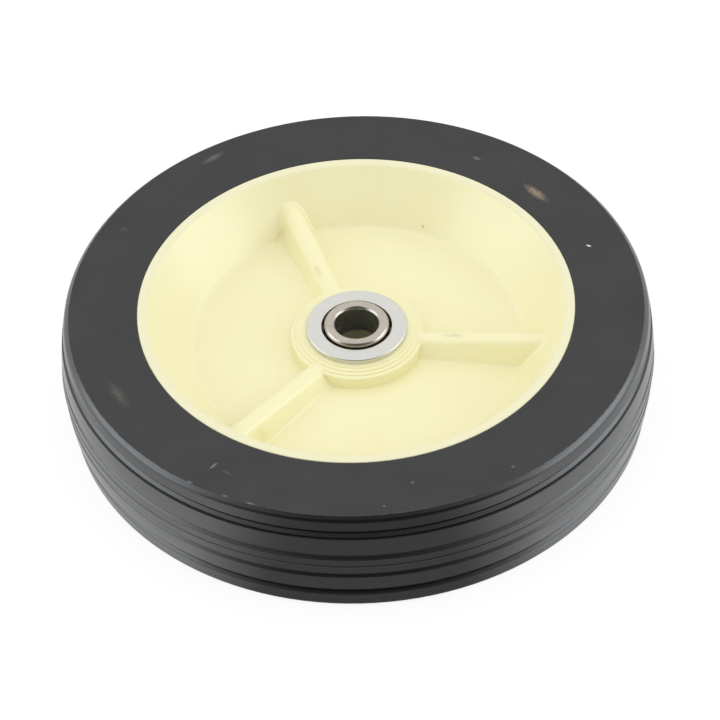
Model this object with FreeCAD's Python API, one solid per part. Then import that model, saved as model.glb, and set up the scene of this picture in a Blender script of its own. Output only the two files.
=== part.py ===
import FreeCAD, Part
import math
import os

# A solid-tyred lawn mower wheel. The axle runs along Z, the outboard face looks up,
# and the origin is on the axle at the middle of the tyre's width. All sizes are in
# millimetres. The pieces are drawn from the tyre's parting plane, which lies a little
# outboard of the middle, and are moved to the origin at the end.

# Tyre
WHEEL_DIAMETER = 177.8
TYRE_WIDTH = 37.0
PARTING_OFFSET = 0.75
SHOULDER_WIDTH = 3.5
SHOULDER_DROP = 1.3
SHOULDER_TUCK = 0.6
SHOULDER_ROUNDING = 2.5
SIDEWALL_EDGE_ROUNDING = 0.4
TREAD_CROWN_RADIUS = 70.0
TREAD_RIB_CROWN = 40.0
GROOVE_LIP_ROUNDING = 0.35
OUTER_GROOVE_LIP = 13.4
OUTER_GROOVE_WIDTH = 3.2
OUTER_GROOVE_DEPTH = 0.95
OUTER_GROOVE_FLOOR_WIDTH = 0.4
OUTER_GROOVE_ROUNDING = 0.4
OUTER_WALL_LEAN = 1.0
LEDGE_WIDTH = 0.9
LEDGE_ROUNDING = 0.2
STEP_HEIGHT = 0.5
STEP_LEAN = 0.08
STEP_ROUNDING = 0.1
INNER_GROOVE_OFFSET = 3.7
INNER_GROOVE_WIDTH = 2.1
INNER_GROOVE_DEPTH = 0.8
INNER_GROOVE_DRAFT_DEGREES = 45.0
INNER_GROOVE_ROUNDING = 0.5
PARTING_FLASH_HEIGHT = 0.2
PARTING_FLASH_WIDTH = 0.75

# Hub: rim, web and ribs
HUB_RIM_DIAMETER = 130.0
LIP_WIDTH = 2.7
LIP_DEPTH = 1.8
LIP_INNER_ROUNDING = 1.0
LIP_SEAM_ROUNDING = 0.4
WALL_LEAN = 12.0
WALL_AT_WEB = 3.7
CHANNEL_FLOOR_WIDTH = 4.0
CHANNEL_ROUNDING = 1.0
WEB_THICKNESS = 3.1
WEB_ROUNDING = 3.2
RIB_COUNT = 3
RIB_FIRST_ANGLE = 110.0
RIB_HALF_WIDTH = 5.3
RIB_TOP_RADIUS = 3.5
RIB_HEIGHT_AT_WALL = 9.9
RIB_HEIGHT_AT_BOSS = 4.6
RIB_ROOT = 1.5
RIB_FILLET = 1.2
SEAM_TOLERANCE = 0.01

# Hub: boss and bearing seats
OUTBOARD_SEAT_HEIGHT = 7.12
INBOARD_TIP_RECESS = 0.5
SEAT_MARGIN = 1.25
BOSS_STEP_COUNT = 3
BOSS_STEP_WIDTH = 1.13
BOSS_STEP_DROP = 0.47
BOSS_STEP_ROUNDING = 0.2
BOSS_EDGE_ROUNDING = 0.4
INBOARD_BOSS_ROUNDING = 0.8
SEAT_RELIEF = 0.5

# Flanged ball bearings, one from each side
AXLE_BORE_DIAMETER = 12.7
INNER_RACE_WALL = 3.45
INNER_RACE_PROUD = 1.43
INNER_RACE_OVERRUN = 0.37
INNER_RACE_TIP_FLAT = 0.25
INNER_RACE_END_ROUNDING = 0.3
RACE_GAP = 0.7
BALL_DIAMETER = 3.969
BALL_SPACE = 0.1
BALL_CLEARANCE = 0.05
GROOVE_CONFORMITY = 0.53
CUP_LENGTH = 8.0
CUP_WALL = 1.31
CUP_END_ROUNDING = 0.6
FLANGE_THICKNESS = 1.6
FLANGE_OVERHANG = 1.65
FLANGE_EDGE_ROUNDING = 0.5
FLANGE_HOLE_ROUNDING = 0.25

# Sizes that follow from the ones above
ORIGIN = FreeCAD.Vector(0, 0, 0)
AXLE = FreeCAD.Vector(0, 0, 1)
OUTBOARD_HALF = TYRE_WIDTH / 2 - PARTING_OFFSET
INBOARD_HALF = TYRE_WIDTH / 2 + PARTING_OFFSET
WEB_HALF = WEB_THICKNESS / 2
RIM_RADIUS = HUB_RIM_DIAMETER / 2
LIP_INNER_RADIUS = RIM_RADIUS - LIP_WIDTH
WEB_EDGE_RADIUS = LIP_INNER_RADIUS - WALL_LEAN
CHANNEL_FLOOR_RADIUS = WEB_EDGE_RADIUS + WALL_AT_WEB
TREAD_RADIUS = WHEEL_DIAMETER / 2 - PARTING_FLASH_HEIGHT
OUTER_GROOVE_STEP = OUTER_GROOVE_LIP - OUTER_GROOVE_WIDTH

AXLE_BORE_RADIUS = AXLE_BORE_DIAMETER / 2
INNER_RACE_RADIUS = AXLE_BORE_RADIUS + INNER_RACE_WALL
FLANGE_HOLE_RADIUS = INNER_RACE_RADIUS + RACE_GAP
BALL_RADIUS = BALL_DIAMETER / 2
BALL_PITCH_RADIUS = INNER_RACE_RADIUS + RACE_GAP / 2
BALL_COUNT = int(math.pi / math.asin((BALL_RADIUS + BALL_SPACE / 2) / BALL_PITCH_RADIUS))
BALL_DEPTH = CUP_LENGTH / 2
RACEWAY_RADIUS = GROOVE_CONFORMITY * BALL_DIAMETER
CUP_RADIUS = BALL_PITCH_RADIUS + BALL_RADIUS + BALL_CLEARANCE + CUP_WALL
FLANGE_RADIUS = CUP_RADIUS + FLANGE_OVERHANG

SEAT_RADIUS = FLANGE_RADIUS + SEAT_MARGIN
SEAT_DEPTH = CUP_LENGTH - FLANGE_THICKNESS + SEAT_RELIEF
BOSS_RADIUS = SEAT_RADIUS + BOSS_STEP_COUNT * BOSS_STEP_WIDTH
OUTBOARD_FACE = OUTBOARD_SEAT_HEIGHT + FLANGE_THICKNESS
INBOARD_FACE = INBOARD_HALF - INBOARD_TIP_RECESS - INNER_RACE_PROUD
INBOARD_SEAT_HEIGHT = INBOARD_FACE - FLANGE_THICKNESS


def towards(start, end, distance):
    """The point that lies a distance from start on the way to end."""
    return start + (end - start).normalize() * distance


def rounded_edges(corners):
    """Edges of a closed outline. Each corner is (x, y, rounding) in the outline's own plane."""
    points = [FreeCAD.Vector(x, 0, y) for x, y, rounding in corners]
    spans = []
    for index, (x, y, rounding) in enumerate(corners):
        corner = points[index]
        before = points[index - 1]
        after = points[(index + 1) % len(points)]
        if rounding == 0:
            spans.append((corner, None, corner))
            continue
        turn = math.pi - (before - corner).getAngle(after - corner)
        reach = rounding * math.tan(turn / 2)
        start = towards(corner, before, reach)
        end = towards(corner, after, reach)
        centre = towards(corner, (start + end) / 2, rounding / math.cos(turn / 2))
        spans.append((start, towards(centre, corner, rounding), end))
    edges = []
    for index, (start, middle, end) in enumerate(spans):
        if middle is not None:
            edges.append(Part.Arc(start, middle, end).toShape())
        next_start = spans[(index + 1) % len(spans)][0]
        edges.append(Part.LineSegment(end, next_start).toShape())
    return edges


def turned(corners):
    """A solid of revolution about the axle from an outline of (radius, height, rounding) corners."""
    face = Part.Face(Part.Wire(rounded_edges(corners)))
    return face.revolve(ORIGIN, AXLE, 360)


def mirrored(corners):
    """The same corners on the inboard side, in the order that carries an outline on."""
    return [(radius, -height, rounding) for radius, height, rounding in reversed(corners)]


def crown(height):
    """Radius of the crowned tread at a height above the parting plane."""
    return TREAD_RADIUS - TREAD_CROWN_RADIUS + math.sqrt(TREAD_CROWN_RADIUS ** 2 - height ** 2)


def rim_channel(half_width):
    """Corners of one half of the channel that the tyre fills."""
    return [
        (CHANNEL_FLOOR_RADIUS, CHANNEL_FLOOR_WIDTH / 2, CHANNEL_ROUNDING),
        (RIM_RADIUS, half_width - LIP_DEPTH, LIP_SEAM_ROUNDING),
    ]


def outer_groove():
    """Corners of the groove beside the shoulder, ending in a ledge and a crisp step up to the next rib."""
    floor = crown(OUTER_GROOVE_LIP) - OUTER_GROOVE_DEPTH
    wall_foot = OUTER_GROOVE_LIP - OUTER_WALL_LEAN
    ledge = crown(OUTER_GROOVE_STEP) - STEP_HEIGHT
    return [
        (crown(OUTER_GROOVE_LIP), OUTER_GROOVE_LIP, GROOVE_LIP_ROUNDING),
        (floor, wall_foot, OUTER_GROOVE_ROUNDING),
        (floor, wall_foot - OUTER_GROOVE_FLOOR_WIDTH, OUTER_GROOVE_ROUNDING),
        (ledge, OUTER_GROOVE_STEP + LEDGE_WIDTH, LEDGE_ROUNDING),
        (ledge, OUTER_GROOVE_STEP + STEP_LEAN, STEP_ROUNDING),
        (crown(OUTER_GROOVE_STEP), OUTER_GROOVE_STEP, STEP_ROUNDING),
    ]


def inner_groove():
    """Corners of the smooth hollow groove beside the middle rib."""
    half = INNER_GROOVE_WIDTH / 2
    floor = crown(INNER_GROOVE_OFFSET) - INNER_GROOVE_DEPTH
    floor_half = half - INNER_GROOVE_DEPTH * math.tan(math.radians(INNER_GROOVE_DRAFT_DEGREES))
    lips = [INNER_GROOVE_OFFSET + half, INNER_GROOVE_OFFSET - half]
    return [
        (crown(lips[0]), lips[0], GROOVE_LIP_ROUNDING),
        (floor, INNER_GROOVE_OFFSET + floor_half, INNER_GROOVE_ROUNDING),
        (floor, INNER_GROOVE_OFFSET - floor_half, INNER_GROOVE_ROUNDING),
        (crown(lips[1]), lips[1], GROOVE_LIP_ROUNDING),
    ]


def tyre_half(half_width):
    """Corners of one half of the tyre, from its base in the rim to its parting line."""
    sidewall = [
        (RIM_RADIUS, half_width, LIP_SEAM_ROUNDING),
        (WHEEL_DIAMETER / 2 - SHOULDER_WIDTH, half_width, SIDEWALL_EDGE_ROUNDING),
        (crown(OUTER_GROOVE_LIP) - SHOULDER_TUCK, half_width - SHOULDER_DROP, SHOULDER_ROUNDING),
    ]
    rib_middle = (OUTER_GROOVE_STEP + INNER_GROOVE_OFFSET + INNER_GROOVE_WIDTH / 2) / 2
    tread_rib = [(crown(rib_middle), rib_middle, TREAD_RIB_CROWN)]
    flash_half = PARTING_FLASH_WIDTH / 2
    flash_foot = [(crown(flash_half), flash_half, 0)]
    return rim_channel(half_width) + sidewall + outer_groove() + tread_rib + inner_groove() + flash_foot


def make_tyre():
    """Solid rubber tyre: flat sidewalls, bevelled shoulders and a crowned tread with four grooves."""
    flash_top = [(TREAD_RADIUS + PARTING_FLASH_HEIGHT, 0, 0)]
    return turned(tyre_half(OUTBOARD_HALF) + flash_top + mirrored(tyre_half(INBOARD_HALF)))


def boss_steps():
    """Corners of the low steps that lead from the outboard bearing seat down to the boss wall."""
    corners = []
    for step in range(BOSS_STEP_COUNT + 1):
        radius = SEAT_RADIUS + step * BOSS_STEP_WIDTH
        height = OUTBOARD_SEAT_HEIGHT - step * BOSS_STEP_DROP
        last = step == BOSS_STEP_COUNT
        corners.append((radius, height, BOSS_EDGE_ROUNDING if last else BOSS_STEP_ROUNDING))
        corners.append((radius, WEB_HALF if last else height - BOSS_STEP_DROP, 0))
    return corners


def hub_rim(half_width):
    """Corners of one half of the hub's rim: dished wall, lip and channel."""
    wall = [
        (WEB_EDGE_RADIUS, WEB_HALF, WEB_ROUNDING),
        (LIP_INNER_RADIUS, half_width, LIP_INNER_ROUNDING),
        (RIM_RADIUS, half_width, LIP_SEAM_ROUNDING),
    ]
    return wall + list(reversed(rim_channel(half_width)))


def make_hub_body():
    """The hub without its ribs: boss, web, dished rim and bearing seats in one section."""
    inboard_boss = [
        (BOSS_RADIUS, -WEB_HALF, 0),
        (BOSS_RADIUS, -INBOARD_SEAT_HEIGHT, INBOARD_BOSS_ROUNDING),
    ]
    bore = [
        (CUP_RADIUS, -INBOARD_SEAT_HEIGHT, 0),
        (CUP_RADIUS, SEAT_DEPTH - INBOARD_SEAT_HEIGHT, 0),
        (FLANGE_HOLE_RADIUS, SEAT_DEPTH - INBOARD_SEAT_HEIGHT, 0),
        (FLANGE_HOLE_RADIUS, OUTBOARD_SEAT_HEIGHT - SEAT_DEPTH, 0),
        (CUP_RADIUS, OUTBOARD_SEAT_HEIGHT - SEAT_DEPTH, 0),
        (CUP_RADIUS, OUTBOARD_SEAT_HEIGHT, 0),
    ]
    rim = hub_rim(OUTBOARD_HALF) + mirrored(hub_rim(INBOARD_HALF))
    return turned(boss_steps() + rim + inboard_boss + bore)


def rib_section(distance, height):
    """Section of a rib at a distance from the axle: a round-topped ridge on both faces of the web."""
    centre = height - RIB_TOP_RADIUS
    reach = math.hypot(RIB_HALF_WIDTH, centre)
    lean = math.atan2(-centre, RIB_HALF_WIDTH) + math.acos(RIB_TOP_RADIUS / reach)
    side = RIB_TOP_RADIUS * math.cos(lean)
    rise = WEB_HALF + centre + RIB_TOP_RADIUS * math.sin(lean)

    def at(across, up):
        return FreeCAD.Vector(distance, across, up)

    edges = []
    for face in (1, -1):
        foot = at(face * RIB_HALF_WIDTH, face * WEB_HALF)
        flank = at(face * side, face * rise)
        top = at(0, face * (WEB_HALF + height))
        far_flank = at(-face * side, face * rise)
        far_foot = at(-face * RIB_HALF_WIDTH, face * WEB_HALF)
        edges.append(Part.LineSegment(foot, flank).toShape())
        edges.append(Part.Arc(flank, top, far_flank).toShape())
        edges.append(Part.LineSegment(far_flank, far_foot).toShape())
        edges.append(Part.LineSegment(far_foot, at(-face * RIB_HALF_WIDTH, -face * WEB_HALF)).toShape())
    return Part.Wire(edges)


def make_ribs():
    """Ribs that rise from the boss to the dished wall, rooted a little way into both."""
    root_radius = LIP_INNER_RADIUS + RIB_ROOT
    root_web_radius = WEB_EDGE_RADIUS + RIB_ROOT
    envelope = turned([
        (0, -INBOARD_HALF, 0),
        (root_radius, -INBOARD_HALF, 0),
        (root_web_radius, -WEB_HALF, 0),
        (root_web_radius, WEB_HALF, 0),
        (root_radius, OUTBOARD_HALF, 0),
        (0, OUTBOARD_HALF, 0),
    ])
    inner = rib_section((CUP_RADIUS + SEAT_RADIUS) / 2, RIB_HEIGHT_AT_BOSS)
    outer = rib_section(root_radius, RIB_HEIGHT_AT_WALL)
    rib = Part.makeLoft([inner, outer], True, True).common(envelope)
    ribs = []
    for index in range(RIB_COUNT):
        turned_rib = rib.copy()
        turned_rib.rotate(ORIGIN, AXLE, RIB_FIRST_ANGLE + index * 360 / RIB_COUNT)
        ribs.append(turned_rib)
    return ribs


def make_hub():
    """One moulding: the turned body, its ribs, and a soft fillet where the ribs meet web and wall."""
    body = make_hub_body()
    ribs = make_ribs()
    hub = body.fuse(ribs).removeSplitter()
    rib_group = Part.makeCompound(ribs)
    seams = []
    for edge in hub.Edges:
        middle = edge.valueAt((edge.FirstParameter + edge.LastParameter) / 2)
        if math.hypot(middle.x, middle.y) < BOSS_RADIUS + SEAM_TOLERANCE:
            continue
        vertex = Part.Vertex(middle)
        if vertex.distToShape(rib_group)[0] > SEAM_TOLERANCE:
            continue
        if vertex.distToShape(body)[0] < SEAM_TOLERANCE:
            seams.append(edge)
    return hub.makeFillet(RIB_FILLET, seams)


def make_outer_race():
    """Flanged cup, with its flange's outer face at height 0 and its raceway half way along it."""
    blank = turned([
        (FLANGE_HOLE_RADIUS, 0, FLANGE_HOLE_ROUNDING),
        (FLANGE_HOLE_RADIUS, -CUP_LENGTH, FLANGE_HOLE_ROUNDING),
        (CUP_RADIUS, -CUP_LENGTH, CUP_END_ROUNDING),
        (CUP_RADIUS, -FLANGE_THICKNESS, 0),
        (FLANGE_RADIUS, -FLANGE_THICKNESS, FLANGE_HOLE_ROUNDING),
        (FLANGE_RADIUS, 0, FLANGE_EDGE_ROUNDING),
    ])
    raceway_floor = BALL_PITCH_RADIUS + BALL_RADIUS + BALL_CLEARANCE
    centre = FreeCAD.Vector(0, 0, -BALL_DEPTH)
    return blank.cut(Part.makeTorus(raceway_floor - RACEWAY_RADIUS, RACEWAY_RADIUS, centre, AXLE))


def make_inner_race():
    """Inner ring with a round proud end, in the same frame as the outer race."""
    tip = (INNER_RACE_WALL - INNER_RACE_TIP_FLAT) / 2
    back = -CUP_LENGTH - INNER_RACE_OVERRUN
    blank = turned([
        (AXLE_BORE_RADIUS, INNER_RACE_PROUD, tip),
        (AXLE_BORE_RADIUS, back, INNER_RACE_END_ROUNDING),
        (INNER_RACE_RADIUS, back, INNER_RACE_END_ROUNDING),
        (INNER_RACE_RADIUS, INNER_RACE_PROUD, tip),
    ])
    raceway_floor = BALL_PITCH_RADIUS - BALL_RADIUS - BALL_CLEARANCE
    centre = FreeCAD.Vector(0, 0, -BALL_DEPTH)
    return blank.cut(Part.makeTorus(raceway_floor + RACEWAY_RADIUS, RACEWAY_RADIUS, centre, AXLE))


def make_balls():
    """A full ring of balls, with no cage."""
    balls = []
    for index in range(BALL_COUNT):
        angle = 2 * math.pi * index / BALL_COUNT
        centre = FreeCAD.Vector(
            BALL_PITCH_RADIUS * math.cos(angle),
            BALL_PITCH_RADIUS * math.sin(angle),
            -BALL_DEPTH,
        )
        balls.append(Part.makeSphere(BALL_RADIUS, centre))
    return balls


def bearing_pieces():
    """Pieces of one bearing by name, with the flange's outer face at height 0, looking up."""
    pieces = {"outer_race": make_outer_race(), "inner_race": make_inner_race()}
    for number, ball in enumerate(make_balls(), start=1):
        pieces[f"ball_{number:02d}"] = ball
    return pieces


def seated(piece, side):
    """A bearing piece moved to its seat on the outboard or inboard side."""
    placed = piece.copy()
    if side == "inboard":
        placed.rotate(ORIGIN, FreeCAD.Vector(1, 0, 0), 180)
        placed.translate(FreeCAD.Vector(0, 0, -INBOARD_FACE))
    else:
        placed.translate(FreeCAD.Vector(0, 0, OUTBOARD_FACE))
    return placed


def wheel_pieces():
    """Every piece of the wheel by its node's name."""
    pieces = {"tyre": make_tyre(), "hub": make_hub()}
    for name, piece in bearing_pieces().items():
        for side in ("outboard", "inboard"):
            pieces[f"{side}_{name}"] = seated(piece, side)
    for piece in pieces.values():
        piece.translate(AXLE * PARTING_OFFSET)
    return pieces


os.makedirs("parts", exist_ok=True)
for node, shape in wheel_pieces().items():
    solid = shape.Solids[0] if len(shape.Solids) == 1 else shape
    solid.exportStep(f"parts/{node}.step")
    print(f"{node}: {shape.Volume / 1000:.2f} cm3, {len(shape.Solids)} solid, valid {shape.isValid()}")
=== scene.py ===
# %% [markdown]
# # A lawn mower wheel
# The wheel lies on a pale table, seen from above at an angle. Its shapes come ready from the CAD
# model: a solid rubber tyre on a cream plastic hub, with a small ball bearing in each end of the hub.
# This lesson gives those shapes their finish. Nothing is moved or resized here, so the bearings
# still turn: each finish is painted in the piece's own coordinates and goes round with it.

# %% Load the wheel
import math
from collections import Counter

import bpy
from mathutils import Matrix, Vector


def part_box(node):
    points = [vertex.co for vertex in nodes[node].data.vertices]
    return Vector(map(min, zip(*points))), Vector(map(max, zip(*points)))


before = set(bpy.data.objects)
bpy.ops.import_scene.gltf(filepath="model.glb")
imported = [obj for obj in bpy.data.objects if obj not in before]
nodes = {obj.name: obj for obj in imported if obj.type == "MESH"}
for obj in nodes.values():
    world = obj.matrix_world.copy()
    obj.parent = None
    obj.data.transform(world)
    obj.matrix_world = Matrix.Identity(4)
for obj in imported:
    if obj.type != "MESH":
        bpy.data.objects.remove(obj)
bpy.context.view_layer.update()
scene = bpy.context.scene
tyre_low, tyre_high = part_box("tyre")
MM = 1000
WHEEL_RADIUS = tyre_high.x * MM
HALF_WIDTH = tyre_high.z * MM
print(f"wheel {2 * WHEEL_RADIUS:.1f} mm across and {2 * HALF_WIDTH:.1f} mm wide")

# %% [markdown]
# ## Helpers for colours and nodes
# Paint charts and screens give colours as sRGB hex values, but a shader adds up light, so it needs
# linear numbers: one function turns the first into the second. Every material below is a chain of
# nodes, and a second function adds one node with its settings and its links. It hands back the
# node's first output, which is what the next node nearly always wants. Three short ones name the
# nodes that come up most: a sum, a change of range and a blend of two colours.

# %% Helpers for colours and nodes
SRGB_KNEE = 0.04045


def colour(code):
    """Linear colour of an sRGB hex value such as #efe8bc."""
    shares = [int(code[start:start + 2], 16) / 255 for start in (1, 3, 5)]
    linear = [s / 12.92 if s <= SRGB_KNEE else ((s + 0.055) / 1.055) ** 2.4 for s in shares]
    return (*linear, 1.0)


def add_node(tree, kind, inputs=None, **settings):
    """Adds a node with its settings. An input is a plain value or another node's output."""
    node = tree.nodes.new(kind)
    for name, choice in settings.items():
        setattr(node, name, choice)
    usable = [socket for socket in node.inputs if socket.enabled]
    for key, value in (inputs or {}).items():
        if isinstance(key, int):
            socket = usable[key]
        else:
            socket = next(s for s in usable if s.name == key)
        if isinstance(value, bpy.types.NodeSocket):
            tree.links.new(value, socket)
        else:
            socket.default_value = value
    return next((socket for socket in node.outputs if socket.enabled), None)


def add_sum(tree, operation, *values):
    """The result of one sum, such as MULTIPLY, on plain numbers or other nodes' outputs."""
    return add_node(tree, "ShaderNodeMath", dict(enumerate(values)), operation=operation)


def change_range(tree, value, start=(0.0, 1.0), end=(0.0, 1.0)):
    """The value moved from one range to another, and held at that range's ends."""
    return add_node(tree, "ShaderNodeMapRange",
                    {"Value": value, "From Min": start[0], "From Max": start[1],
                     "To Min": end[0], "To Max": end[1]})


def blend(tree, share, first, second):
    """The first colour where the share is 0, the second where it is 1."""
    return add_node(tree, "ShaderNodeMix", {"Factor": share, "A": first, "B": second}, data_type="RGBA")


def new_material(name):
    """An empty material, and the tree that its nodes go into."""
    material = bpy.data.materials.new(name)
    material.use_nodes = True
    material.node_tree.nodes.clear()
    return material, material.node_tree


print("hub cream in linear light:", [round(c, 3) for c in colour("#efe8bc")])

# %% [markdown]
# ## The camera
# A product photo like this is taken with a long lens from about a metre, so the wheel hardly tapers
# with distance. The camera is set by what can be measured on the wheel's two ellipses: how far above
# the table it looks from, how far away it is, and a slight roll of the hand-held frame. Building its
# matrix from three axes keeps the roll exact, where a tracking constraint would level it.

# %% Camera
CAMERA_ELEVATION = math.radians(44.742)
CAMERA_ROLL = math.radians(-2.402)
CAMERA_DISTANCE = 0.93316
CAMERA_RIGHT = 0.001269
CAMERA_UP = -0.01691
LENS = 157.27

outboard_face = Vector((0, 0, tyre_high.z))
back = Vector((0, -math.cos(CAMERA_ELEVATION), math.sin(CAMERA_ELEVATION)))
level_right = Vector((1, 0, 0))
level_up = back.cross(level_right)
right = level_right * math.cos(CAMERA_ROLL) + level_up * math.sin(CAMERA_ROLL)
up = back.cross(right)
stand = outboard_face + back * CAMERA_DISTANCE + right * CAMERA_RIGHT + up * CAMERA_UP

camera_data = bpy.data.cameras.new("product_camera")
camera_data.lens = LENS
camera = bpy.data.objects.new("product_camera", camera_data)
scene.collection.objects.link(camera)
camera.matrix_world = Matrix.Translation(stand) @ Matrix((right, up, back)).transposed().to_4x4()
scene.camera = camera
scene.view_settings.view_transform = "Standard"
print("camera at", [round(c, 3) for c in stand])

# %% [markdown]
# ## Table
# The wheel lies on a white table: one large sheet just under the tyre. It takes light like white
# card, so the wheel's shadow falls on it, and the camera also sees a glow that lifts the card to
# paper white. The tread stands upright and mirrors the table close by. In that mirror the card has a
# painted glow: painted light at both sides of the wheel, as if the windows lit it there, and painted
# shade in front, where the camera stands. The brightness starts under the tyre's edge, so that none
# of it gets into the bore.

# %% Table
TABLE_SIZE = 8.0
TABLE_GAP = 0.00005
PAPER_GLOW = 0.88
LIT_CARD = colour("#d4d4d3")
MIRRORED_CARD = colour("#929292")
SHOWN_CARD = colour("#6c6c6c")
WHITE = colour("#ffffff")
# Painted light for mirrored rays: a glow bright at both sides of the wheel, and painted shade in front
BRIGHT_SIDES = 0.75
SHADE_EDGE = (-0.94, -0.78)
TYRE_EDGE = (0.9 * tyre_high.x, tyre_high.x)

half = TABLE_SIZE / 2
level = tyre_low.z - TABLE_GAP
table_mesh = bpy.data.meshes.new("table")
corners = [(-half, -half, level), (half, -half, level), (half, half, level), (-half, half, level)]
table_mesh.from_pydata(corners, [], [(0, 1, 2, 3)])
table = bpy.data.objects.new("table", table_mesh)
scene.collection.objects.link(table)

card, tree = new_material("white_card")
rays = add_node(tree, "ShaderNodeLightPath").node.outputs
spot = add_node(tree, "ShaderNodeTexCoord").node.outputs["Object"]
flat = add_node(tree, "ShaderNodeVectorMath", {0: spot, 1: (1, 1, 0)}, operation="MULTIPLY")
distance = add_node(tree, "ShaderNodeVectorMath", {0: flat}, operation="LENGTH")
around = add_node(tree, "ShaderNodeVectorMath", {0: flat}, operation="NORMALIZE")
forward = add_node(tree, "ShaderNodeSeparateXYZ", {0: around}).node.outputs["Y"]
# Painted light: the mirrored card glows at the sides of the wheel and is painted dark in front
brightness = change_range(tree, forward, SHADE_EDGE, (0.0, BRIGHT_SIDES))
beside = change_range(tree, distance, TYRE_EDGE)
brightness = add_sum(tree, "MULTIPLY", brightness, beside)

lit = add_node(tree, "ShaderNodeBsdfDiffuse", {"Color": LIT_CARD})
mirrored_lit = add_node(tree, "ShaderNodeBsdfDiffuse", {"Color": MIRRORED_CARD})
painted_mirror_glow = add_node(tree, "ShaderNodeEmission", {"Color": WHITE, "Strength": brightness})
mirrored = add_node(tree, "ShaderNodeAddShader", {0: mirrored_lit, 1: painted_mirror_glow})
shown_lit = add_node(tree, "ShaderNodeBsdfDiffuse", {"Color": SHOWN_CARD})
shown_glow = add_node(tree, "ShaderNodeEmission", {"Color": WHITE, "Strength": PAPER_GLOW})
shown = add_node(tree, "ShaderNodeAddShader", {0: shown_lit, 1: shown_glow})
unseen = add_node(tree, "ShaderNodeMixShader", {0: rays["Is Glossy Ray"], 1: lit, 2: mirrored})
paper = add_node(tree, "ShaderNodeMixShader", {0: rays["Is Camera Ray"], 1: unseen, 2: shown})
add_node(tree, "ShaderNodeOutputMaterial", {"Surface": paper})
table_mesh.materials.append(card)
print("table at", round(level * MM, 2), "mm")

# %% [markdown]
# ## Room
# Nothing but white shows behind the wheel. The room is the world's background, and its ceiling gives
# more light than its walls. Rubber and steel mirror a white room that is dark on the camera's side:
# that is why the grooves and the bevel look black in front.

# %% Room
WALL_FILL = 0.6
CEILING_FILL = 1.2
DARK_SIDE = 0.03
WHITE_WALLS = 1.0
DARK_SIDE_EDGE = (-0.65, -0.35)
SHOWN_WHITE = 1.0

room = bpy.data.worlds.new("white_room")
room.use_nodes = True
tree = room.node_tree
tree.nodes.clear()
rays = add_node(tree, "ShaderNodeLightPath").node.outputs
way = add_node(tree, "ShaderNodeTexCoord")
towards = add_node(tree, "ShaderNodeSeparateXYZ", {0: way}).node.outputs
walls = change_range(tree, towards["Y"], DARK_SIDE_EDGE, (DARK_SIDE, WHITE_WALLS))
fill = change_range(tree, towards["Z"], end=(WALL_FILL, CEILING_FILL))
unseen = add_node(tree, "ShaderNodeMix", {"Factor": rays["Is Glossy Ray"], "A": fill, "B": walls})
strength = add_node(tree, "ShaderNodeMix", {"Factor": rays["Is Camera Ray"], "A": unseen, "B": SHOWN_WHITE})
light = add_node(tree, "ShaderNodeBackground", {"Color": WHITE, "Strength": strength})
add_node(tree, "ShaderNodeOutputWorld", {"Surface": light})
scene.world = room
print(room.name, "has", len(tree.nodes), "nodes")

# %% [markdown]
# ## Lamps
# The reflections tell where the lamps stood. The grooves and bevels catch a window of light on their
# left and another on their right, and the hub's left wall shows one of them as a tall bright patch.
# Both windows stood low at the sides, a little towards the camera. Two large area lamps do that. The
# right one is a little stronger. Brightness is given against white card: 2 is twice as bright.

# %% Lamps
LAMP_DISTANCE = 1.1
LAMP_WIDE = 0.95
LAMP_TALL = 0.5
LAMP_ELEVATION = math.radians(21)
LAMP_TINT = colour("#e8f4ff")[:3]
# Each window: its bearing round the wheel in degrees, and its brightness
WINDOWS = {"left window": (184, 1.62), "right window": (356, 1.9)}

for name, (bearing, brightness) in WINDOWS.items():
    outward = Vector((math.cos(math.radians(bearing)), math.sin(math.radians(bearing)), 0))
    way = outward * math.cos(LAMP_ELEVATION) + Vector((0, 0, math.sin(LAMP_ELEVATION)))
    lamp = bpy.data.lights.new(name, "AREA")
    lamp.shape = "RECTANGLE"
    lamp.size = LAMP_WIDE
    lamp.size_y = LAMP_TALL
    lamp.energy = brightness * math.pi * LAMP_WIDE * LAMP_TALL
    lamp.color = LAMP_TINT
    holder = bpy.data.objects.new(name, lamp)
    scene.collection.objects.link(holder)
    holder.location = way * LAMP_DISTANCE
    holder.rotation_mode = "QUATERNION"
    holder.rotation_quaternion = way.to_track_quat("Z", "Y")
    holder.visible_camera = False
    print(name, f"{lamp.energy:.1f} W")

# %% [markdown]
# ## Finding one's way round the wheel
# Mould marks, turning marks and wear all follow the wheel: they lie at a distance from the axle, at
# a height across the tread, or run round it. So every finish first works out those three from the
# piece's own coordinates, in millimetres. A streak that runs round the axle is noise that is
# stretched that way. It is sampled by direction and not by angle, because an angle jumps from 360
# back to 0 and would leave a seam.

# %% Helpers for places, streaks and marks
STREAK_DETAIL = 3.0
MARK_BREAKUP = 1.6
MARK_EDGE = (1.65, 0.95)


def wheel_place(tree):
    """A point's spot in mm, its radius from the axle, its height and the way it lies from the axle."""
    own = add_node(tree, "ShaderNodeTexCoord").node.outputs["Object"]
    spot = add_node(tree, "ShaderNodeVectorMath", {"Vector": own, "Scale": MM}, operation="SCALE")
    flat = add_node(tree, "ShaderNodeVectorMath", {0: spot, 1: (1, 1, 0)}, operation="MULTIPLY")
    return {
        "spot": spot,
        "radius": add_node(tree, "ShaderNodeVectorMath", {0: flat}, operation="LENGTH"),
        "around": add_node(tree, "ShaderNodeVectorMath", {0: flat}, operation="NORMALIZE"),
        "height": add_node(tree, "ShaderNodeSeparateXYZ", {0: spot}).node.outputs["Z"],
    }


def speckle(tree, place, per_mm, detail, roughness=0.5):
    """Noise with about so many specks to a millimetre."""
    return add_node(tree, "ShaderNodeTexNoise",
                    {"Vector": place["spot"], "Scale": per_mm, "Detail": detail, "Roughness": roughness})


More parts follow.
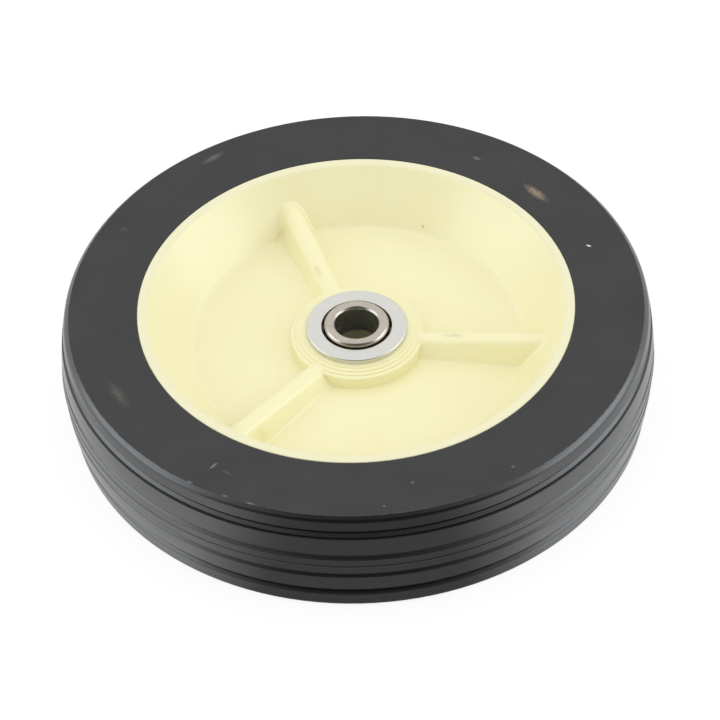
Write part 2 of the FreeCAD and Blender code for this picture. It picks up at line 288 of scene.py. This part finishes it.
def ring_streaks(tree, place, ring_radius, length, breadth):
    """Noise in streaks that run round the axle, about length mm long and breadth mm wide."""
    along = add_node(tree, "ShaderNodeVectorMath",
                     {"Vector": place["around"], "Scale": ring_radius / length}, operation="SCALE")
    row = add_sum(tree, "DIVIDE", place["height"], breadth)
    lift = add_node(tree, "ShaderNodeCombineXYZ", {"Z": row})
    line = add_node(tree, "ShaderNodeVectorMath", {0: along, 1: lift}, operation="ADD")
    column = add_sum(tree, "DIVIDE", place["radius"], breadth)
    return add_node(tree, "ShaderNodeTexNoise",
                    {"Vector": line, "W": column, "Scale": 1.0, "Detail": STREAK_DETAIL},
                    noise_dimensions="4D")


def height_bands(tree, height, bands, edge):
    """1 inside any of the bands between two heights and 0 outside, with a soft edge. All in mm."""
    inside = 0.0
    for low, high in bands:
        reach = (high - low) / 2
        away = add_sum(tree, "SUBTRACT", height, low + reach)
        away = add_sum(tree, "ABSOLUTE", away)
        within = change_range(tree, away, (reach + edge, reach))
        inside = add_sum(tree, "MAXIMUM", within, inside)
    return inside


def from_axle(distance, angle, height):
    """The place at a distance from the axle and an angle round it, in mm and degrees."""
    return (distance * math.cos(math.radians(angle)), distance * math.sin(math.radians(angle)), height)


def paint_mark(tree, paint, spot, grain, at, turn, size, tint, strength):
    """The paint with one patch on it, with a broken edge: a rubbed mark, a scratch or a patch of painted
    shade. All in mm, the turn in degrees.
    """
    local = add_node(tree, "ShaderNodeMapping",
                     {"Vector": spot, "Location": at, "Rotation": (0, 0, math.radians(turn)), "Scale": size},
                     vector_type="TEXTURE")
    reach = add_node(tree, "ShaderNodeVectorMath", {0: local}, operation="LENGTH")
    broken = add_sum(tree, "MULTIPLY_ADD", grain, MARK_BREAKUP, reach)
    patch_share = change_range(tree, broken, MARK_EDGE)
    patch_share = add_sum(tree, "MULTIPLY", patch_share, strength)
    return blend(tree, patch_share, paint, colour(tint))


print("the brown scuff is at", [round(c, 1) for c in from_axle(72.7, 38.8, HALF_WIDTH)], "mm")

# %% [markdown]
# ## Tyre: moulded black rubber
# The tyre is one moulding, but its surface has more than one finish. The flat sidewalls have gone
# matt and grey with dust. The bevels and the tread kept their moulded skin: darker, with a satin gloss
# and fine lines that run round the tyre. A thin bloom of wax makes that skin paler at a slant. The
# bottoms of the grooves have none of it and are painted black as shade, and the outboard shoulder is
# painted black as shade too, because it looks blacker than the tread. Narrow creases in the grooves
# lose most of their gloss, as painted shade. One material does all this and chooses by place, because
# the change of finish has no edge in the mesh.

# %% Places and marks on the tyre
SHOULDER_WIDTH = 3.5
BEVEL_START = WHEEL_RADIUS - SHOULDER_WIDTH
SIDEWALL_FACE = (HALF_WIDTH - 0.25, HALF_WIDTH - 0.05)
SIDEWALL_END = (BEVEL_START + 0.6, BEVEL_START + 0.3)
RAGGED_EDGE = 0.9
CHIP_STREAK = (1.5, 40.0)

# Bands on the tread, in mm from the parting line: on both sides of it, but the shoulder outboard only
PARTING_HEIGHT = 0.75
# Painted shade: the groove bottoms and the outboard shoulder are painted black and have no wax bloom
HOLLOWS = [(2.8, 4.6), (10.3, 13.0)]
BARE_SHOULDER = [(13.0, 17.6)]
# Painted shade: narrow creases whose gloss is mostly taken away, so they read as dark lines
CREVICES = [(10.35, 10.9), (11.95, 12.5)]
BAND_EDGE = 0.12

# Each mark: mm from the axle, angle, turn, half length and half width, colour, strength
SIDEWALL_MARKS = {
    "brown scuff": (72.7, 38.8, -52, (6.2, 2.0), "#9a876b", 0.8),
    "white nick": (73.8, 16.3, -30, (1.1, 0.5), "#f2f2ee", 1.0),
    "rub at the back right": (74.1, 57.9, -30, (2.2, 1.1), "#8b8881", 0.4),
    "rub at the back left": (80.4, 121.9, 38, (5.0, 1.5), "#82807b", 0.4),
    "curved scratch": (76.5, 236.7, 45, (2.1, 0.5), "#8b8981", 0.8),
    "faint scratch": (77.0, 240.2, -32, (2.2, 0.5), "#64615c", 0.5),
    "brown smudge": (77.5, 206.0, -63, (7.0, 2.2), "#78726a", 0.3),
    "grey spot": (78.9, 152.1, 0, (1.8, 1.4), "#6a6664", 0.25),
    "first chip in the edge": (85.1, 235.1, -35, (1.4, 0.5), "#8a8c8d", 0.5),
    "second chip in the edge": (85.1, 242.9, -27, (1.4, 0.5), "#8a8c8d", 0.5),
    "third chip in the edge": (85.1, 248.1, -22, (1.7, 0.5), "#8a8c8c", 0.5),
    "pale speck": (74.9, 280.6, 0, (0.9, 0.8), "#85806f", 0.4),
    "second pale speck": (82.3, 273.9, 0, (0.6, 0.5), "#9a967f", 0.45),
    "third pale speck": (81.1, 301.4, 0, (0.9, 0.8), "#7f7f7b", 0.4),
}
MARK_DEPTH = 1.0

rubber, tree = new_material("moulded_black_rubber")
place = wheel_place(tree)
across = add_sum(tree, "ABSOLUTE", place["height"])
flat_face = change_range(tree, across, SIDEWALL_FACE)
chips = ring_streaks(tree, place, WHEEL_RADIUS, *CHIP_STREAK)
torn = add_sum(tree, "MULTIPLY_ADD", chips, RAGGED_EDGE, place["radius"])
inside = change_range(tree, torn, SIDEWALL_END)
sidewall = add_sum(tree, "MULTIPLY", flat_face, inside)

from_parting = add_sum(tree, "SUBTRACT", place["height"], PARTING_HEIGHT)
off_parting = add_sum(tree, "ABSOLUTE", from_parting)
groove_shade = height_bands(tree, off_parting, HOLLOWS, BAND_EDGE)
shoulder = height_bands(tree, from_parting, BARE_SHOULDER, BAND_EDGE)
black = add_sum(tree, "MAXIMUM", groove_shade, shoulder)
crevice_shade = height_bands(tree, off_parting, CREVICES, BAND_EDGE)
print("sidewall out to", round(BEVEL_START, 1), "mm,", len(HOLLOWS), "grooves on each side of the middle")

# %% Colour of the tyre
SIDEWALL_GRAIN = 0.45
SIDEWALL_BLOTCH = 16.0
SKIN_STREAK = (45.0, 0.8)
SKIN_BLACKS = (colour("#101113"), colour("#1d1e20"))
PAINTED_SHADE_BLACK = colour("#050505")
DUST_GREYS = (colour("#252626"), colour("#312f2e"))
BLOTCH_SPREAD = (0.25, 0.75)

grain = speckle(tree, place, 1 / SIDEWALL_GRAIN, 3.0)
blotch = speckle(tree, place, 1 / SIDEWALL_BLOTCH, 5.0)
streaks = ring_streaks(tree, place, WHEEL_RADIUS, *SKIN_STREAK)
skin = blend(tree, streaks, *SKIN_BLACKS)
# Painted shade: the groove bottoms and the outboard shoulder take a flat black
skin = blend(tree, black, skin, PAINTED_SHADE_BLACK)
patchy = change_range(tree, blotch, BLOTCH_SPREAD)
dust = blend(tree, patchy, *DUST_GREYS)
paint = blend(tree, sidewall, skin, dust)
for distance, angle, turn, (long, wide), tint, strength in SIDEWALL_MARKS.values():
    at = from_axle(distance, angle, HALF_WIDTH)
    size = (long, wide, MARK_DEPTH)
    paint = paint_mark(tree, paint, place["spot"], grain, at, turn, size, tint, strength)
print(len(SIDEWALL_MARKS), "marks on the sidewall")

# %% Gloss and relief of the tyre
SKIN_ROUGHNESS = (0.2, 0.4)
DUST_ROUGHNESS = (0.62, 0.85)
SKIN_RELIEF = 0.35
RELIEF_STRENGTH = 0.6
RELIEF_DEPTH = 0.00006
SKIN_INDEX = 1.9
DUST_INDEX = 1.6
OPEN_SHINE = 0.5
CREVICE_SHINE = 0.08
WAX_BLOOM = 0.2
WAX_ROUGHNESS = 0.4

skin_rough = change_range(tree, streaks, end=SKIN_ROUGHNESS)
dust_rough = change_range(tree, grain, end=DUST_ROUGHNESS)
rough = add_node(tree, "ShaderNodeMix", {"Factor": sidewall, "A": skin_rough, "B": dust_rough})
skin_relief = add_sum(tree, "MULTIPLY", streaks, SKIN_RELIEF)
relief = add_node(tree, "ShaderNodeMix", {"Factor": sidewall, "A": skin_relief, "B": grain})
bumps = add_node(tree, "ShaderNodeBump",
                 {"Height": relief, "Strength": RELIEF_STRENGTH, "Distance": RELIEF_DEPTH})
bare = add_sum(tree, "MAXIMUM", sidewall, black)
bloom = change_range(tree, bare, end=(WAX_BLOOM, 0.0))
# Painted shade: the creases keep little gloss, so they stay dark
shine = change_range(tree, crevice_shade, end=(OPEN_SHINE, CREVICE_SHINE))
index = change_range(tree, sidewall, end=(SKIN_INDEX, DUST_INDEX))
surface = add_node(tree, "ShaderNodeBsdfPrincipled",
                   {"Base Color": paint, "Roughness": rough, "IOR": index, "Normal": bumps,
                    "Specular IOR Level": shine, "Sheen Weight": bloom, "Sheen Roughness": WAX_ROUGHNESS})
add_node(tree, "ShaderNodeOutputMaterial", {"Surface": surface})
print(rubber.name, "has", len(tree.nodes), "nodes")

# %% [markdown]
# ## Hub: moulded cream plastic
# The hub is injection-moulded polypropylene with a soft gloss. Its colour is never quite even, its
# skin has a faint orange peel, and the flat edge of its rim has gone a little grey. There is dirt on
# the ribs where fingers and grass do not wipe it off. Where the first and third ribs meet the wall,
# the corners are painted darker and yellower as shade. All of it is painted by place, so that the
# dirt and the painted shade stay on the ribs however the wheel is turned.

# %% Hub
HUB_CREAMS = (colour("#f2edc2"), colour("#efe8b8"))
HUB_CLOUD = 22.0
HUB_PEEL = 1.3
HUB_GRAINS_PER_MM = 1.4
HUB_GRAIN_ROUGHNESS = 0.7
WORN_RIM = colour("#d9d7c2")
RIM_WEAR = 0.35
RIM_EDGE = (HALF_WIDTH - 0.4, HALF_WIDTH - 0.1)
HUB_ROUGHNESS = (0.27, 0.35)
HUB_INDEX = 1.55
PEEL_STRENGTH = 0.25
PEEL_DEPTH = 0.00002

# Each mark: mm from the axle, angle, mm below the rim, turn, half sizes, colour, strength
HUB_MARKS = {
    "grey dirt on the first rib": (27.6, 113.8, 9.5, -66, (4.5, 1.6, 2.5), "#c9c49f", 0.7),
    "dark fleck on the wall": (52.1, 65.2, 13.5, -50, (0.9, 0.35, 1.0), "#8f8a66", 0.8),
    # Painted shade: the next two marks darken the corners where the ribs meet the wall
    "painted shade in the corner of the first rib": (50.5, 117.5, 13.0, 63, (4.5, 1.8, 3.0), "#d3bd80", 0.7),
    "painted shade at the end of the third rib": (49.3, 236.6, 12.5, -20, (7.0, 3.5, 4.0), "#e3cf8c", 0.5),
    "grey rub on the second rib": (29.2, 350.0, 10.0, -12, (5.0, 1.2, 2.5), "#c4c19f", 0.6),
}

cream, tree = new_material("moulded_cream_polypropylene")
place = wheel_place(tree)
cloud = speckle(tree, place, 1 / HUB_CLOUD, 2.0)
grain = speckle(tree, place, HUB_GRAINS_PER_MM, 5.0, HUB_GRAIN_ROUGHNESS)
peel = speckle(tree, place, 1 / HUB_PEEL, 1.0)
paint = blend(tree, cloud, *HUB_CREAMS)
across = add_sum(tree, "ABSOLUTE", place["height"])
rim = change_range(tree, across, RIM_EDGE, (0.0, RIM_WEAR))
paint = blend(tree, rim, paint, WORN_RIM)
for distance, angle, depth, turn, size, tint, strength in HUB_MARKS.values():
    at = from_axle(distance, angle, HALF_WIDTH - depth)
    paint = paint_mark(tree, paint, place["spot"], grain, at, turn, size, tint, strength)
rough = change_range(tree, grain, end=HUB_ROUGHNESS)
bumps = add_node(tree, "ShaderNodeBump", {"Height": peel, "Strength": PEEL_STRENGTH, "Distance": PEEL_DEPTH})
surface = add_node(tree, "ShaderNodeBsdfPrincipled",
                   {"Base Color": paint, "Roughness": rough, "IOR": HUB_INDEX, "Normal": bumps})
add_node(tree, "ShaderNodeOutputMaterial", {"Surface": surface})
print(cream.name, "has", len(tree.nodes), "nodes and", len(HUB_MARKS), "marks")

# %% [markdown]
# ## Bearing cups: zinc plate
# Each outer race is a pressed steel cup with a flange, plated with bright zinc. The plate is a fine
# satin of tiny crystals, slightly blue where it is thick and slightly warm where it is thin. It is a
# metal, so its colour is that of its mirror image, and its roughness blurs that image.

# %% Zinc plate
ZINC_TINTS = (colour("#d6dad9"), colour("#dfdad0"))
TINTS_PER_MM = 0.3
CRYSTALS_PER_MM = 3.0
ZINC_ROUGHNESS = (0.26, 0.42)
METAL_RELIEF = 0.4
METAL_RELIEF_DEPTH = 0.00002

zinc, tree = new_material("bright_zinc_plate")
place = wheel_place(tree)
thickness = speckle(tree, place, TINTS_PER_MM, 2.0)
crystals = speckle(tree, place, CRYSTALS_PER_MM, 4.0)
paint = blend(tree, thickness, *ZINC_TINTS)
rough = change_range(tree, crystals, end=ZINC_ROUGHNESS)
bumps = add_node(tree, "ShaderNodeBump",
                 {"Height": crystals, "Strength": METAL_RELIEF, "Distance": METAL_RELIEF_DEPTH})
surface = add_node(tree, "ShaderNodeBsdfPrincipled",
                   {"Base Color": paint, "Metallic": 1.0, "Roughness": rough, "Normal": bumps})
add_node(tree, "ShaderNodeOutputMaterial", {"Surface": surface})
print(zinc.name, "has", len(tree.nodes), "nodes")

# %% [markdown]
# ## Inner races: tumbled steel
# The inner race is turned from bar and tumbled until its edges are round. It is bare steel under a
# thin brown film of oil, with faint turning lines round it. Its bore is paler and has no brown film,
# as the axle would keep it clean.

# %% Race steel
BORE_RADIUS = 6.35
BORE_EDGE = (BORE_RADIUS + 0.15, BORE_RADIUS + 0.05)
OILED_STEELS = (colour("#b2aa9f"), colour("#cbc4ba"))
CLEAN_STEEL = colour("#c6c8c7")
FILM_PER_MM = 0.5
TURNED_RADIUS = 8.0
TURNING_LINE = (9.0, 0.18)
STEEL_ROUGHNESS = (0.2, 0.36)

steel, tree = new_material("tumbled_oiled_steel")
place = wheel_place(tree)
lines = ring_streaks(tree, place, TURNED_RADIUS, *TURNING_LINE)
film = speckle(tree, place, FILM_PER_MM, 3.0)
paint = blend(tree, film, *OILED_STEELS)
in_bore = change_range(tree, place["radius"], BORE_EDGE)
paint = blend(tree, in_bore, paint, CLEAN_STEEL)
rough = change_range(tree, lines, end=STEEL_ROUGHNESS)
bumps = add_node(tree, "ShaderNodeBump",
                 {"Height": lines, "Strength": METAL_RELIEF, "Distance": METAL_RELIEF_DEPTH})
surface = add_node(tree, "ShaderNodeBsdfPrincipled",
                   {"Base Color": paint, "Metallic": 1.0, "Roughness": rough, "Normal": bumps})
add_node(tree, "ShaderNodeOutputMaterial", {"Surface": surface})
print(steel.name, "has", len(tree.nodes), "nodes")

# %% [markdown]
# ## Balls: polished steel in grease
# The balls are hardened, ground and polished, and then packed in grease. Only a sliver of them shows,
# down in the gap between the races, and their steel is painted dark and dull, in uneven patches.

# %% Ball steel
# The balls are painted dark and dull, so they give no glints down in the gap
DARKENED_BALL_STEELS = (colour("#6f6c66"), colour("#565046"))
PATCHES_PER_MM = 1.2
BALL_ROUGHNESS = (0.2, 0.5)

ball_steel, tree = new_material("polished_bearing_steel")
place = wheel_place(tree)
ball_patches = speckle(tree, place, PATCHES_PER_MM, 3.0)
paint = blend(tree, ball_patches, *DARKENED_BALL_STEELS)
rough = change_range(tree, ball_patches, end=BALL_ROUGHNESS)
surface = add_node(tree, "ShaderNodeBsdfPrincipled",
                   {"Base Color": paint, "Metallic": 1.0, "Roughness": rough})
add_node(tree, "ShaderNodeOutputMaterial", {"Surface": surface})
print(ball_steel.name, "has", len(tree.nodes), "nodes")

# %% [markdown]
# ## Dressing the pieces
# The CAD pieces have the right shapes, so each keeps its mesh and only its material slots change.
# A piece's name says what it is, and that chooses its finish.

# %% Give each piece its finish


def finish_of(name):
    """The finish that belongs to a piece, by what the piece is."""
    if name == "tyre":
        return rubber
    if name == "hub":
        return cream
    if "_outer_race" in name:
        return zinc
    if "_inner_race" in name:
        return steel
    return ball_steel


for name, piece in nodes.items():
    piece.data.materials.clear()
    piece.data.materials.append(finish_of(name))
print(dict(Counter(finish_of(name).name for name in nodes)))
